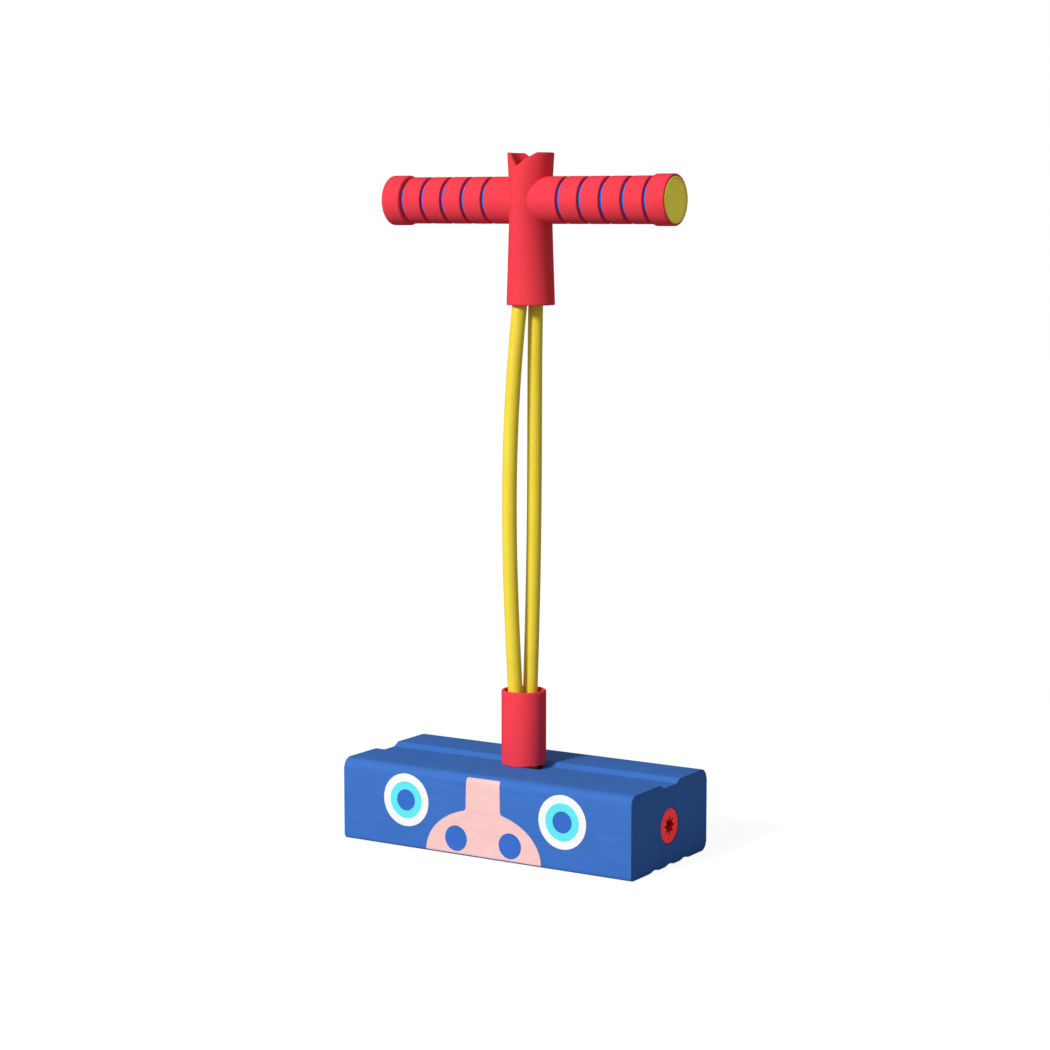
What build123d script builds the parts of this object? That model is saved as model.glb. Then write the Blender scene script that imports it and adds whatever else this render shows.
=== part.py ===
"""Foam pogo jumper: a foam block to stand on, an elastic cord loop and a foam handlebar.

Millimetres. +Z is up. X runs along the block and the handlebar, and -Y is the block's front.
The origin is the centre of the block's underside, on the floor.
"""

import os
from math import cos, hypot, pi, radians, sin

from build123d import *

# ---- driving dimensions ----------------------------------------------------------------------

GLUE_GAP = 0.02  # bond line between glued pieces
RUNNING = 0.06  # radial clearance of pieces that turn or slide in each other

# foam block
BLOCK_L = 250.0
BLOCK_W = 114.5
BLOCK_H = 62.0
EDGE_FRONT_TOP = 7.0
EDGE_BACK_TOP = 8.0
EDGE_BACK_BOTTOM = 6.0
EDGE_FRONT_BOTTOM = 3.0
CHANNEL_HALF_TOP = 15.0
CHANNEL_HALF_FLOOR = 9.5
CHANNEL_DEPTH = 3.0
SOLE_GROOVE_PITCH = 22.5
SOLE_GROOVE_W = 15.0
SOLE_GROOVE_DEPTH = 1.3

# cord chamber inside the block, and what closes it
CHAMBER_R = 18.5
CHAMBER_TOP = 50.0
CORD_BORE_R = 14.0
ANCHOR_Z = 27.0
ANCHOR_R = 6.0
ANCHOR_BORE_R = 4.6
ANCHOR_HALF = 42.0
PLUG_RECESS = 1.5
PLUG_DISC_TOP = 8.0

# squeakers in the block's ends
SQUEAKER_Z = 29.5
PLUG_R = 13.4
PLUG_THICK = 5.0
PLUG_INSET = 0.3
STAR_POINTS = 8
STAR_OUTER_R = 7.5
STAR_INNER_R = 4.0
BULB_R = 12.2
BULB_L = 22.0
BULB_WALL = 1.2
BULB_RIDGES = 3
BULB_NOSE = 4.8
BULB_RIDGE_DEPTH = 1.0
BULB_RIDGE_W = 2.0
REED_R = 3.4
REED_L = 6.0
REED_FLANGE = 1.5
REED_SLOT = 0.6
REED_WALL = 1.4
SQUEAKER_TRAVEL = 3.0
POCKET_SPARE = 1.0  # left free behind a squeaker that is pressed fully in

# collar round the cords
COLLAR_R = 16.8
COLLAR_BORE_R = 14.2
COLLAR_TOP = 118.0
COLLAR_LIP = 0.9

# handle
HANDLE_X = 4.0  # the cords lean a little, and carry the handle off the block's centre
HANDLE_Y = 3.2
BAR_Z = 481.5
BAR_HALF = 121.0
SLEEVE_BOTTOM = 405.0
SLEEVE_TOP = 516.0
SLEEVE_BOTTOM_R = 17.9
SLEEVE_TOP_R = 17.3
SLEEVE_WAIST_X = 13.2
SLEEVE_WAIST_Y = 20.5
SLEEVE_WALL = 3.0
NOTCH_HALF = 13.0
NOTCH_DEPTH = 10.0
TUBE_R = 6.0
TUBE_BORE_R = 4.8
TUBE_END_INSET = 3.5
CORE_R = 14.5
CORE_START = 8.0
GRIP_R = 17.3
GRIP_START = 7.6
GROOVE_W = 3.0
GROOVE_PITCH = 17.9
GROOVE_FIRST = 32.1
GROOVES = 5
FLANGE_R = 18.6
FLANGE_ROUND = 1.5
FLANGE_SET_BACK = 1.7
CAP_R = 16.9
CAP_THICK = 2.6
CAP_ROUND = 1.1
SPIGOT_L = 14.0

# elastic cord loop
CORD_R = 5.5
WRAP_GAP = 0.1
MOUTH_ANGLE = 63.0  # direction from one strand to the other, from +X, between the ties
LOWER_TIE_Z = 112.0
UPPER_TIE_Z = 425.0
TIE_H = 6.0
TIE_WALL = 0.8
TIE_GAP = 0.4
LOWER_TIE_HALF_GAP = 6.3
UPPER_TIE_HALF_GAP = 5.9
CORD_BOW = 4.7  # how far each strand bows out between the ties
CORD_DRIFT_X = -1.2  # how far the pair drifts to the left at mid height
LOWER_TIE_AT = (-0.8, 0.0)
UPPER_TIE_AT = (HANDLE_X - 0.8, HANDLE_Y - 0.4)
BORE_HALF_GAP = 8.0
BORE_ANGLE = 84.0
COLLAR_FOOT_Z = 70.0
COLLAR_FOOT_HALF_GAP = 6.8
COLLAR_FOOT_ANGLE = 76.0
SHOULDER_Z = 445.0
SHOULDER_AT = (HANDLE_X - 0.24, HANDLE_Y - 0.12)
SHOULDER_HALF_GAP = 7.6
SHOULDER_ANGLE = 71.0

SIDES = (("left", -1), ("right", 1))


# ---- helpers ---------------------------------------------------------------------------------


def export(name, shape):
    """Write one named piece; a list of solids becomes one group."""
    solids = shape if isinstance(shape, list) else [shape]
    solids = [s for piece in solids for s in piece.solids()]
    shape = solids[0] if len(solids) == 1 else Compound(children=solids)
    shape.label = name
    export_step(shape, f"parts/{name}.step")


def tube_x(r_outer, r_inner, x_start, x_end, z, y=0.0):
    """A tube along X between two stations, or a rod where r_inner is 0."""
    plane = Plane(origin=(x_start, y, z), z_dir=(1, 0, 0))
    tube = extrude(plane * Circle(r_outer), amount=x_end - x_start)
    if r_inner > 0:
        tube -= extrude(plane * Circle(r_inner), amount=x_end - x_start)
    return tube


def tube_z(r_outer, r_inner, z_start, z_end):
    """A tube up the Z axis, or a rod where r_inner is 0."""
    tube = extrude(Plane.XY.offset(z_start) * Circle(r_outer), amount=z_end - z_start)
    if r_inner > 0:
        tube -= extrude(Plane.XY.offset(z_start) * Circle(r_inner), amount=z_end - z_start)
    return tube


def bar_tube(r_outer, r_inner, side, start, end):
    """A tube on the handlebar's axis, from its distances off the sleeve on one side."""
    low, high = sorted((HANDLE_X + side * start, HANDLE_X + side * end))
    return tube_x(r_outer, r_inner, low, high, BAR_Z, HANDLE_Y)


# ---- block -----------------------------------------------------------------------------------


def block_outline():
    """End view of the block in the YZ plane, without the edge rounding."""
    half = BLOCK_W / 2
    floor_z = BLOCK_H - CHANNEL_DEPTH
    groove_half = SOLE_GROOVE_W / 2
    lines = []
    here = (-half, 0.0)
    for centre in (-SOLE_GROOVE_PITCH, 0.0, SOLE_GROOVE_PITCH):
        start = (centre - groove_half, 0.0)
        end = (centre + groove_half, 0.0)
        lines.append(Line(here, start))
        lines.append(ThreePointArc(start, (centre, SOLE_GROOVE_DEPTH), end))
        here = end
    deck = [
        here,
        (half, 0.0),
        (half, BLOCK_H),
        (CHANNEL_HALF_TOP, BLOCK_H),
        (CHANNEL_HALF_FLOOR, floor_z),
        (-CHANNEL_HALF_FLOOR, floor_z),
        (-CHANNEL_HALF_TOP, BLOCK_H),
        (-half, BLOCK_H),
        (-half, 0.0),
    ]
    lines += [Line(a, b) for a, b in zip(deck, deck[1:])]
    face = make_face(lines)
    corners = {
        (-half, BLOCK_H): EDGE_FRONT_TOP,
        (half, BLOCK_H): EDGE_BACK_TOP,
        (half, 0.0): EDGE_BACK_BOTTOM,
        (-half, 0.0): EDGE_FRONT_BOTTOM,
    }
    for (y, z), radius in corners.items():
        near = [v for v in face.vertices() if hypot(v.X - y, v.Y - z) < GLUE_GAP]
        face = fillet(near, radius)
    return face


def anchor_slot(extra):
    """The space under and around the anchor tube, open to the block's underside."""
    width = 2 * (ANCHOR_R + extra)
    length = 2 * (ANCHOR_HALF + extra)
    slot = extrude(Rectangle(length, width), amount=ANCHOR_Z)
    reach = ANCHOR_HALF + extra
    return slot + tube_x(ANCHOR_R + extra, 0, -reach, reach, ANCHOR_Z)


def squeaker_pocket(side):
    """Round hole for one squeaker, with room behind it for its travel."""
    outer = BLOCK_L / 2
    depth = PLUG_INSET + PLUG_THICK + BULB_L + SQUEAKER_TRAVEL + POCKET_SPARE
    low, high = sorted((side * (outer - depth), side * outer))
    return tube_x(PLUG_R + RUNNING, 0, low, high, SQUEAKER_Z)


def base_block():
    end_plane = Plane(origin=(-BLOCK_L / 2, 0, 0), x_dir=(0, 1, 0), z_dir=(1, 0, 0))
    block = extrude(end_plane * block_outline(), amount=BLOCK_L)
    block -= tube_z(CHAMBER_R, 0, 0, CHAMBER_TOP)
    block -= tube_z(CORD_BORE_R, 0, 0, BLOCK_H)
    block -= anchor_slot(GLUE_GAP)
    for _, side in SIDES:
        block -= squeaker_pocket(side)
    return block


def underside_plug():
    """Foam disc with two arms that fills the opening under the cord loop and the anchor tube."""
    disc = tube_z(CHAMBER_R - GLUE_GAP, 0, PLUG_RECESS, PLUG_DISC_TOP)
    arms = extrude(
        Plane.XY.offset(PLUG_RECESS) * Rectangle(2 * ANCHOR_HALF, 2 * ANCHOR_R),
        amount=ANCHOR_Z - PLUG_RECESS,
    )
    arms -= tube_z(CHAMBER_R - GLUE_GAP, 0, 0, BLOCK_H)
    arms -= tube_x(ANCHOR_R + GLUE_GAP, 0, -BLOCK_L, BLOCK_L, ANCHOR_Z)
    return disc + arms


def cord_collar():
    collar = tube_z(COLLAR_R, COLLAR_BORE_R, BLOCK_H, COLLAR_TOP)
    return fillet(collar.edges().group_by(Axis.Z)[-1], COLLAR_LIP)


# ---- squeakers -------------------------------------------------------------------------------


def star_outline():
    """Pointed star, one point up."""
    points = []
    for i in range(2 * STAR_POINTS):
        radius = STAR_OUTER_R if i % 2 == 0 else STAR_INNER_R
        turn = pi / 2 + i * pi / STAR_POINTS
        points.append((radius * cos(turn), radius * sin(turn)))
    return make_face(Polyline(*points, close=True))


def squeaker(side):
    """Outlet plug, air bulb and reed of one end, modelled outward along +X and then placed."""
    face_x = BLOCK_L / 2 - PLUG_INSET
    back_x = face_x - PLUG_THICK
    end_x = back_x - BULB_L
    plug = tube_x(PLUG_R, 0, back_x, face_x, SQUEAKER_Z)
    plug = fillet(plug.edges().group_by(Axis.X)[-1], CAP_ROUND)
    star_plane = Plane(origin=(back_x, 0, SQUEAKER_Z), x_dir=(0, 1, 0), z_dir=(1, 0, 0))
    plug -= extrude(star_plane * star_outline(), amount=PLUG_THICK)

    bulb = tube_x(BULB_R, 0, end_x, back_x - GLUE_GAP, SQUEAKER_Z)
    bulb = fillet(bulb.edges().group_by(Axis.X)[0], BULB_NOSE)
    waist_r = BULB_R - BULB_RIDGE_DEPTH
    bulb -= tube_x(waist_r - BULB_WALL, 0, end_x + BULB_WALL, back_x, SQUEAKER_Z)
    ridge_pitch = (BULB_L - 2 * BULB_NOSE) / BULB_RIDGES
    for i in range(BULB_RIDGES):
        start = end_x + BULB_NOSE + (i + 1) * ridge_pitch - BULB_RIDGE_W / 2
        bulb -= tube_x(PLUG_R, waist_r, start, start + BULB_RIDGE_W, SQUEAKER_Z)

    reed_back = back_x - GLUE_GAP
    reed_start = reed_back - REED_L
    flange_r = waist_r - BULB_WALL - GLUE_GAP
    reed = tube_x(flange_r, 0, reed_back - REED_FLANGE, reed_back, SQUEAKER_Z)
    reed += tube_x(REED_R + REED_WALL, 0, reed_start, reed_back, SQUEAKER_Z)
    slot_plane = Plane(origin=(reed_start, 0, SQUEAKER_Z), x_dir=(0, 1, 0), z_dir=(1, 0, 0))
    reed -= extrude(slot_plane * Rectangle(2 * REED_R, REED_SLOT), amount=REED_L)

    pieces = {"plug": plug, "bulb": bulb, "reed": reed}
    if side < 0:
        pieces = {name: mirror(piece, Plane.YZ) for name, piece in pieces.items()}
    return pieces


# ---- cord ------------------------------------------------------------------------------------


def strand_point(station, strand):
    """Centre of one strand at a station: strand is +1 for the rear one and -1 for the front one."""
    z, (x, y), half_gap, angle = station
    turn = radians(angle)
    return (x + strand * half_gap * cos(turn), y + strand * half_gap * sin(turn), z)


def between_ties(t):
    """The two strands bow apart and lean towards the handle; t is 0 at the lower tie."""
    lean = t**4
    bow = sin(pi * t)
    x = LOWER_TIE_AT[0] + (UPPER_TIE_AT[0] - LOWER_TIE_AT[0]) * lean + CORD_DRIFT_X * bow
    y = LOWER_TIE_AT[1] + (UPPER_TIE_AT[1] - LOWER_TIE_AT[1]) * lean
    half_gap = LOWER_TIE_HALF_GAP + (UPPER_TIE_HALF_GAP - LOWER_TIE_HALF_GAP) * t
    z = LOWER_TIE_Z + (UPPER_TIE_Z - LOWER_TIE_Z) * t
    return (z, (x, y), half_gap + CORD_BOW * bow, MOUTH_ANGLE)


def strand_stations():
    """Height, pair centre, half gap and pair direction at each station, from bottom to top."""
    spans = 6
    return [
        (ANCHOR_Z, (0.0, 0.0), ANCHOR_R + WRAP_GAP + CORD_R, 90.0),
        (CHAMBER_TOP, (0.0, 0.0), BORE_HALF_GAP, BORE_ANGLE),
        (COLLAR_FOOT_Z, (0.0, 0.0), COLLAR_FOOT_HALF_GAP, COLLAR_FOOT_ANGLE),
        *[between_ties(i / spans) for i in range(spans + 1)],
        (SHOULDER_Z, SHOULDER_AT, SHOULDER_HALF_GAP, SHOULDER_ANGLE),
        (BAR_Z, (HANDLE_X, HANDLE_Y), TUBE_R + WRAP_GAP + CORD_R, 90.0),
    ]


def half_turn(station, rise):
    """Arc that joins the two strands at an end of the loop."""
    z, (x, y), half_gap, _ = station
    return ThreePointArc((x, y - half_gap, z), (x, y, z + rise * half_gap), (x, y + half_gap, z))


def cord_length(path):
    """Round cord along one stretch of the loop; all stretches share one seam direction."""
    start = Plane(origin=path @ 0, x_dir=(1, 0, 0), z_dir=path % 0)
    return sweep(start * Circle(CORD_R), path=path)


def cord_loop():
    """Endless cord: under the anchor tube, up both strands and over the handlebar's tube."""
    stations = strand_stations()
    upward = (0, 0, 1)
    front, rear = [
        Spline([strand_point(s, strand) for s in stations], tangents=[upward, upward])
        for strand in (-1, 1)
    ]
    loop = cord_length(front) + cord_length(half_turn(stations[0], -1))
    loop += cord_length(rear)
    loop += cord_length(half_turn(stations[-1], 1))
    return loop


def cord_tie(t):
    """Flat band round both strands at one end of their free length."""
    z, (x, y), half_gap, angle = between_ties(t)
    place = Plane.XY.offset(z - TIE_H / 2) * Location((x, y, 0), (0, 0, angle))
    inner_r = CORD_R + TIE_GAP
    outer_r = inner_r + TIE_WALL
    band = extrude(place * SlotCenterToCenter(2 * half_gap, 2 * outer_r), amount=TIE_H)
    band -= extrude(place * SlotCenterToCenter(2 * half_gap, 2 * inner_r), amount=TIE_H)
    return band


# ---- handle ----------------------------------------------------------------------------------


def sleeve_body(shrink):
    """Round at both ends, with a straight taper to an oval where the bar and the cords cross it."""
    sections = (
        (SLEEVE_BOTTOM, SLEEVE_BOTTOM_R, SLEEVE_BOTTOM_R),
        (BAR_Z, SLEEVE_WAIST_X, SLEEVE_WAIST_Y),
        (SLEEVE_TOP, SLEEVE_TOP_R, SLEEVE_TOP_R),
    )
    faces = [
        Plane(origin=(HANDLE_X, HANDLE_Y, z)) * Ellipse(x_radius - shrink, y_radius - shrink)
        for z, x_radius, y_radius in sections
    ]
    return loft(faces, ruled=True)


def handle_sleeve():
    sleeve = sleeve_body(0) - sleeve_body(SLEEVE_WALL)
    sleeve -= bar_tube(GRIP_R + RUNNING, 0, 1, -2 * SLEEVE_WAIST_X, 2 * SLEEVE_WAIST_X)
    notch_points = (
        (HANDLE_X - NOTCH_HALF, SLEEVE_TOP),
        (HANDLE_X, SLEEVE_TOP - NOTCH_DEPTH),
        (HANDLE_X + NOTCH_HALF, SLEEVE_TOP),
        (HANDLE_X, SLEEVE_TOP + NOTCH_DEPTH),
    )
    notch = make_face(Plane.XZ * Polyline(*notch_points, close=True))
    return sleeve - extrude(notch, amount=BLOCK_W / 2, both=True)


def core_tube():
    reach = BAR_HALF - TUBE_END_INSET
    return bar_tube(TUBE_R, TUBE_BORE_R, 1, -reach, reach)


def grip_side(side):
    """Everything on one half of the handlebar, from the sleeve outward."""
    cap_back = BAR_HALF - CAP_THICK
    groove_centres = [GROOVE_FIRST + i * GROOVE_PITCH for i in range(GROOVES)]
    groove_edges = [(c - GROOVE_W / 2, c + GROOVE_W / 2) for c in groove_centres]
    core = bar_tube(CORE_R, TUBE_R + GLUE_GAP, side, CORE_START, cap_back - GLUE_GAP)
    red_bore = CORE_R + GLUE_GAP
    inner = bar_tube(GRIP_R, red_bore, side, GRIP_START, groove_edges[0][0])
    rings = [
        bar_tube(GRIP_R, red_bore, side, near[1], far[0])
        for near, far in zip(groove_edges, groove_edges[1:])
    ]
    flange = bar_tube(FLANGE_R, red_bore, side, groove_edges[-1][1], BAR_HALF - FLANGE_SET_BACK)
    rims = [e for e in flange.edges() if e.geom_type == GeomType.CIRCLE and e.radius > GRIP_R]
    flange = fillet(rims, FLANGE_ROUND)
    flange -= bar_tube(CAP_R + GLUE_GAP, 0, side, cap_back - GLUE_GAP, BAR_HALF)

    cap = bar_tube(CAP_R, 0, side, cap_back, BAR_HALF)
    cap = fillet(cap.edges().group_by(Axis.X)[-1 if side > 0 else 0], CAP_ROUND)
    cap += bar_tube(TUBE_BORE_R - GLUE_GAP, 0, side, cap_back - SPIGOT_L, cap_back)
    return {
        "grip_core": core,
        "grip_inner": inner,
        "grip_rings": rings,
        "end_flange": flange,
        "end_cap": cap,
    }


# ---- the whole toy ---------------------------------------------------------------------------


def main():
    os.makedirs("parts", exist_ok=True)
    export("base_block", base_block())
    export("underside_plug", underside_plug())
    export("anchor_tube", tube_x(ANCHOR_R, ANCHOR_BORE_R, -ANCHOR_HALF, ANCHOR_HALF, ANCHOR_Z))
    export("cord_collar", cord_collar())
    export("cord_loop", cord_loop())
    export("lower_cord_tie", cord_tie(0.0))
    export("upper_cord_tie", cord_tie(1.0))
    export("handle_sleeve", handle_sleeve())
    export("core_tube", core_tube())
    for side_name, side in SIDES:
        for piece_name, piece in squeaker(side).items():
            export(f"{side_name}_squeaker_{piece_name}", piece)
        for piece_name, piece in grip_side(side).items():
            export(f"{side_name}_{piece_name}", piece)


main()
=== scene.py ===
"""Looks for the foam pogo jumper: a foam block, an elastic cord loop and a foam handlebar.

Metres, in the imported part's own frame: X runs along the block and the handlebar, -Y is the front.
"""

import math

import bmesh
import bpy
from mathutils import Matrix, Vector


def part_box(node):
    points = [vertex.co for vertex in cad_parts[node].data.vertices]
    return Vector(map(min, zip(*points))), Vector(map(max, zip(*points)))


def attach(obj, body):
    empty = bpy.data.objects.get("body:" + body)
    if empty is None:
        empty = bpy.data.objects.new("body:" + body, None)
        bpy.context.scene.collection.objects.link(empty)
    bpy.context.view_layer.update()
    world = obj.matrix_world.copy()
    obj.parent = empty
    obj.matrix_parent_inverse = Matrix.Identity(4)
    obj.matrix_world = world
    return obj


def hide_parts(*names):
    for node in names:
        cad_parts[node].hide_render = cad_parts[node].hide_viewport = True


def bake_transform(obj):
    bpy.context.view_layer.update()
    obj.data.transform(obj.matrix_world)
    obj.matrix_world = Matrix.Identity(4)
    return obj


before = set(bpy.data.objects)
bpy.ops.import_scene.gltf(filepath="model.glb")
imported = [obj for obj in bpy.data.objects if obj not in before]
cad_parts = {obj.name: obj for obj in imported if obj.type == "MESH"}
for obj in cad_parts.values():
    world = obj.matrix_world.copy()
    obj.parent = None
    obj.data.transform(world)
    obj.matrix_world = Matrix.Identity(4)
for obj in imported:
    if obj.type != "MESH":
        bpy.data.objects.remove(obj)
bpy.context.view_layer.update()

MM = 0.001

# ---- where things are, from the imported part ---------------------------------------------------


def middle(node):
    """Centre of a node's box."""
    low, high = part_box(node)
    return (low + high) / 2


BLOCK_LOW, BLOCK_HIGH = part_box("base_block")
COLLAR_LOW, COLLAR_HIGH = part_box("cord_collar")
SLEEVE_LOW, SLEEVE_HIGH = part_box("handle_sleeve")
CORD_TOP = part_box("cord_loop")[1].z
FOOT_TIE = middle("lower_cord_tie")
HEAD_TIE = middle("upper_cord_tie")
ANCHOR = middle("anchor_tube")
BAR = middle("core_tube")
BAR_AXIS = Vector((0, BAR.y, BAR.z))
SQUEAKER = middle("right_squeaker_plug")

# ---- sizes the boxes don't give ---------------------------------------------------------------

# Block and collar.
EDGE_FRONT_TOP = 7.0 * MM
EDGE_BACK_TOP = 8.0 * MM
EDGE_BACK_BOTTOM = 6.0 * MM
EDGE_FRONT_BOTTOM = 3.0 * MM
CHANNEL_HALF_TOP = 15.0 * MM
CHANNEL_HALF_FLOOR = 9.5 * MM
CHANNEL_DEPTH = 3.0 * MM
CHANNEL_EDGE = 1.6 * MM
SOLE_GROOVE_PITCH = 22.5 * MM
SOLE_GROOVE_W = 15.0 * MM
SOLE_GROOVE_DEPTH = 1.3 * MM
END_EDGE = 0.7 * MM
CHAMBER_R = 18.5 * MM
CHAMBER_TOP = 50.0 * MM
CORD_BORE_R = 14.0 * MM
POCKET_DEPTH = 31.3 * MM
POCKET_GAP = 0.06 * MM
SLOT_GAP = 0.02 * MM
COLLAR_WALL = 2.6 * MM
COLLAR_FOOT_INNER = 0.4 * MM
COLLAR_FOOT_OUTER = 0.8 * MM
COLLAR_LIP = 1.1 * MM

# Cord. A half gap runs from the pair's middle to a strand's; an angle turns the pair about Z.
CORD_R = 5.5 * MM
CORD_BOW = 4.7 * MM
CORD_DRIFT_X = -1.2 * MM
LEAN_POWER = 4
FOOT_HALF_GAP = 6.3 * MM
HEAD_HALF_GAP = 5.9 * MM
MOUTH_ANGLE = 63.0
WRAP_ANGLE = 90.0
THROAT_HALF_GAP = 8.0 * MM
THROAT_ANGLE = 84.0
COLLAR_STATION_Z = 70.0 * MM
COLLAR_HALF_GAP = 6.8 * MM
COLLAR_ANGLE = 76.0
SHOULDER_Z = 445.0 * MM
SHOULDER_SHARE = 0.7
SHOULDER_HALF_GAP = 7.6 * MM
SHOULDER_ANGLE = 71.0
UNDER_TIE = 4.5 * MM
OVER_TIE = 1.2 * MM
SPLICE = 0.5 * MM
ROOT_BEND = 22.0 * MM
STRAND_STEP = 5.0 * MM

# Sleeve. The waist is its half width and half depth at the bar.
SLEEVE_WALL = 3.0 * MM
SLEEVE_BOTTOM_R = 17.9 * MM
SLEEVE_TOP_R = 17.3 * MM
SLEEVE_WAIST_X = 13.2 * MM
SLEEVE_WAIST_Y = 20.5 * MM
SLEEVE_BEND = 14.0 * MM
SLEEVE_LIP = 0.9 * MM
NOTCH_HALF = 13.0 * MM
NOTCH_DEPTH = 10.0 * MM
NOTCH_TIP_X = -1.8 * MM

# Grips, flanges and caps.
FOAM_EDGE = 0.55 * MM
FIT_GAP = 0.02 * MM
GRIP_TUCK = 1.2 * MM
GROOVE_W = 3.0 * MM
RINGS = 4
FLANGE_ROUND = 1.6 * MM
FLANGE_LIP = 1.2 * MM
FLANGE_LIP_ROUND = 0.9 * MM
FLANGE_MOUTH_ROUND = 0.3 * MM
CAP_SEAT = 0.9 * MM
CAP_THICK = 2.6 * MM
CAP_RIM = 1.3 * MM
CAP_RIM_ROUND = 0.7 * MM
CAP_BACK_ROUND = 0.2 * MM
CAP_DISH = 0.6 * MM
CAP_DISH_SLOPE = 0.5 * MM
CAP_DISH_ROUND = 0.3 * MM
SPIGOT_INSET = 1.24 * MM
SPIGOT_ROUND = 0.4 * MM
AXIS_R = 0.02 * MM

# Printed face.
PRINT_PROUD = 0.12 * MM
PRINT_DEPTH = 0.30 * MM
PRINT_ROW = 0.8 * MM
EYE_X = 68.0 * MM
EYE_Z = 36.5 * MM
EYE_WHITE_R = 20.0 * MM
EYE_RING_R = 14.0 * MM
EYE_PUPIL_R = 8.0 * MM
MUZZLE_HALF_W = 50.0 * MM
MUZZLE_BASE_Z = 1.6 * MM
MUZZLE_RISE = 35.0 * MM
MUZZLE_CORNER = 3.0 * MM
BLAZE_HALF_W = 15.0 * MM
BLAZE_TOP_SHARE = 0.96
BLAZE_MARGIN = 2.2 * MM
BLAZE_CORNER = 1.2 * MM
NOSTRIL_X = 23.5 * MM
NOSTRIL_Z = 13.0 * MM
NOSTRIL_R = 9.6 * MM

# Mesh work. A crisp angle is the turn, in degrees, above which an edge stays sharp.
CAD_EDGE = 0.25 * MM
WELD_DISTANCE = 0.002 * MM
CUT_PAST = 1.0 * MM
CRISP_ANGLE = 40.0
BLOCK_CRISP_ANGLE = 30.0
SLEEVE_CRISP_ANGLE = 35.0

SIDES = (("left", -1), ("right", 1))


# ---- mesh helpers -----------------------------------------------------------------------------


def new_object(name, bm, crisp_angle=CRISP_ANGLE):
    """A shaded object from a bmesh, with its edges kept crisp above crisp_angle."""
    bmesh.ops.remove_doubles(bm, verts=bm.verts, dist=WELD_DISTANCE)
    bmesh.ops.recalc_face_normals(bm, faces=bm.faces)
    mesh = bpy.data.meshes.new(name)
    bm.to_mesh(mesh)
    bm.free()
    shade(mesh, crisp_angle)
    obj = bpy.data.objects.new(name, mesh)
    bpy.context.scene.collection.objects.link(obj)
    return obj


def shade(mesh, crisp_angle):
    """Smooth shading, apart from edges that turn by more than crisp_angle."""
    mesh.polygons.foreach_set("use_smooth", [True] * len(mesh.polygons))
    mesh.set_sharp_from_angle(angle=math.radians(crisp_angle))


def place(obj, body, material, slot, *nodes):
    """Give a piece its material, its body and the CAD nodes it stands for."""
    obj.data.materials.clear()
    obj.data.materials.append(material)
    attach(obj, body)
    if nodes:
        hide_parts(*nodes)
    return obj


def round_corners(points, radii, steps=5):
    """A closed outline with each corner turned into an arc; a radius of 0 keeps it sharp."""
    outline = []
    count = len(points)
    for i, (point, radius) in enumerate(zip(points, radii)):
        corner = Vector(point)
        if radius <= 0:
            outline.append(corner)
            continue
        back = (Vector(points[i - 1]) - corner).normalized()
        ahead = (Vector(points[(i + 1) % count]) - corner).normalized()
        half = back.angle(ahead) / 2
        reach = radius / math.tan(half)
        centre = corner + (back + ahead).normalized() * (radius / math.sin(half))
        start = corner + back * reach - centre
        end = corner + ahead * reach - centre
        sweep = start.angle(end)
        for k in range(steps + 1):
            t = k / steps
            share_start = math.sin((1 - t) * sweep) / math.sin(sweep)
            share_end = math.sin(t * sweep) / math.sin(sweep)
            outline.append(centre + start * share_start + end * share_end)
    return outline


def full_turn(steps):
    """Evenly spaced angles round a circle."""
    return [2 * math.pi * i / steps for i in range(steps)]


def around(axis, radius, angle, station):
    """A point at a radius and an angle about the X or Z axis, at a station along it."""
    a, b = radius * math.cos(angle), radius * math.sin(angle)
    return Vector((station, a, b)) if axis == "X" else Vector((a, b, station))


def join_rings(bm, ring, following):
    """Quads between two closed rings of the same number of points."""
    for k in range(len(ring)):
        n = (k + 1) % len(ring)
        bm.faces.new((ring[k], ring[n], following[n], following[k]))


def close_rings(bm, rings):
    """A ring-shaped skin: each ring is joined to the next, and the last one to the first."""
    for ring, following in zip(rings, rings[1:] + rings[:1]):
        join_rings(bm, ring, following)


def cap_rings(bm, rings):
    """A rod-shaped skin: each ring is joined to the next, and both ends get a face."""
    for ring, following in zip(rings, rings[1:]):
        join_rings(bm, ring, following)
    bm.faces.new(rings[0])
    bm.faces.new(rings[-1])


def lathe(bm, outline, centre, axis, turns=96):
    """Turn a closed (radius, station) outline about an axis through centre."""
    rings = []
    for angle in full_turn(turns):
        rings.append([bm.verts.new(centre + around(axis, r, angle, at)) for r, at in outline])
    close_rings(bm, rings)


def tube_outline(r_inner, r_outer, start, end, edge_start, edge_end):
    """Outline of a tube's wall, with its outer edges rounded."""
    corners = [(r_inner, start), (r_outer, start), (r_outer, end), (r_inner, end)]
    return round_corners(corners, (0, edge_start, edge_end, 0))


def sweep_tube(bm, path, radius, turns=28):
    """A round cord along a list of points, closed at both ends."""
    side = Vector((1, 0, 0))
    rings = []
    for i, point in enumerate(path):
        ahead = path[min(i + 1, len(path) - 1)] - path[max(i - 1, 0)]
        along = ahead.normalized()
        side = (side - along * side.dot(along)).normalized()
        other = along.cross(side)
        ring = []
        for angle in full_turn(turns):
            offset = side * math.cos(angle) + other * math.sin(angle)
            ring.append(bm.verts.new(point + offset * radius))
        rings.append(ring)
    cap_rings(bm, rings)


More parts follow.
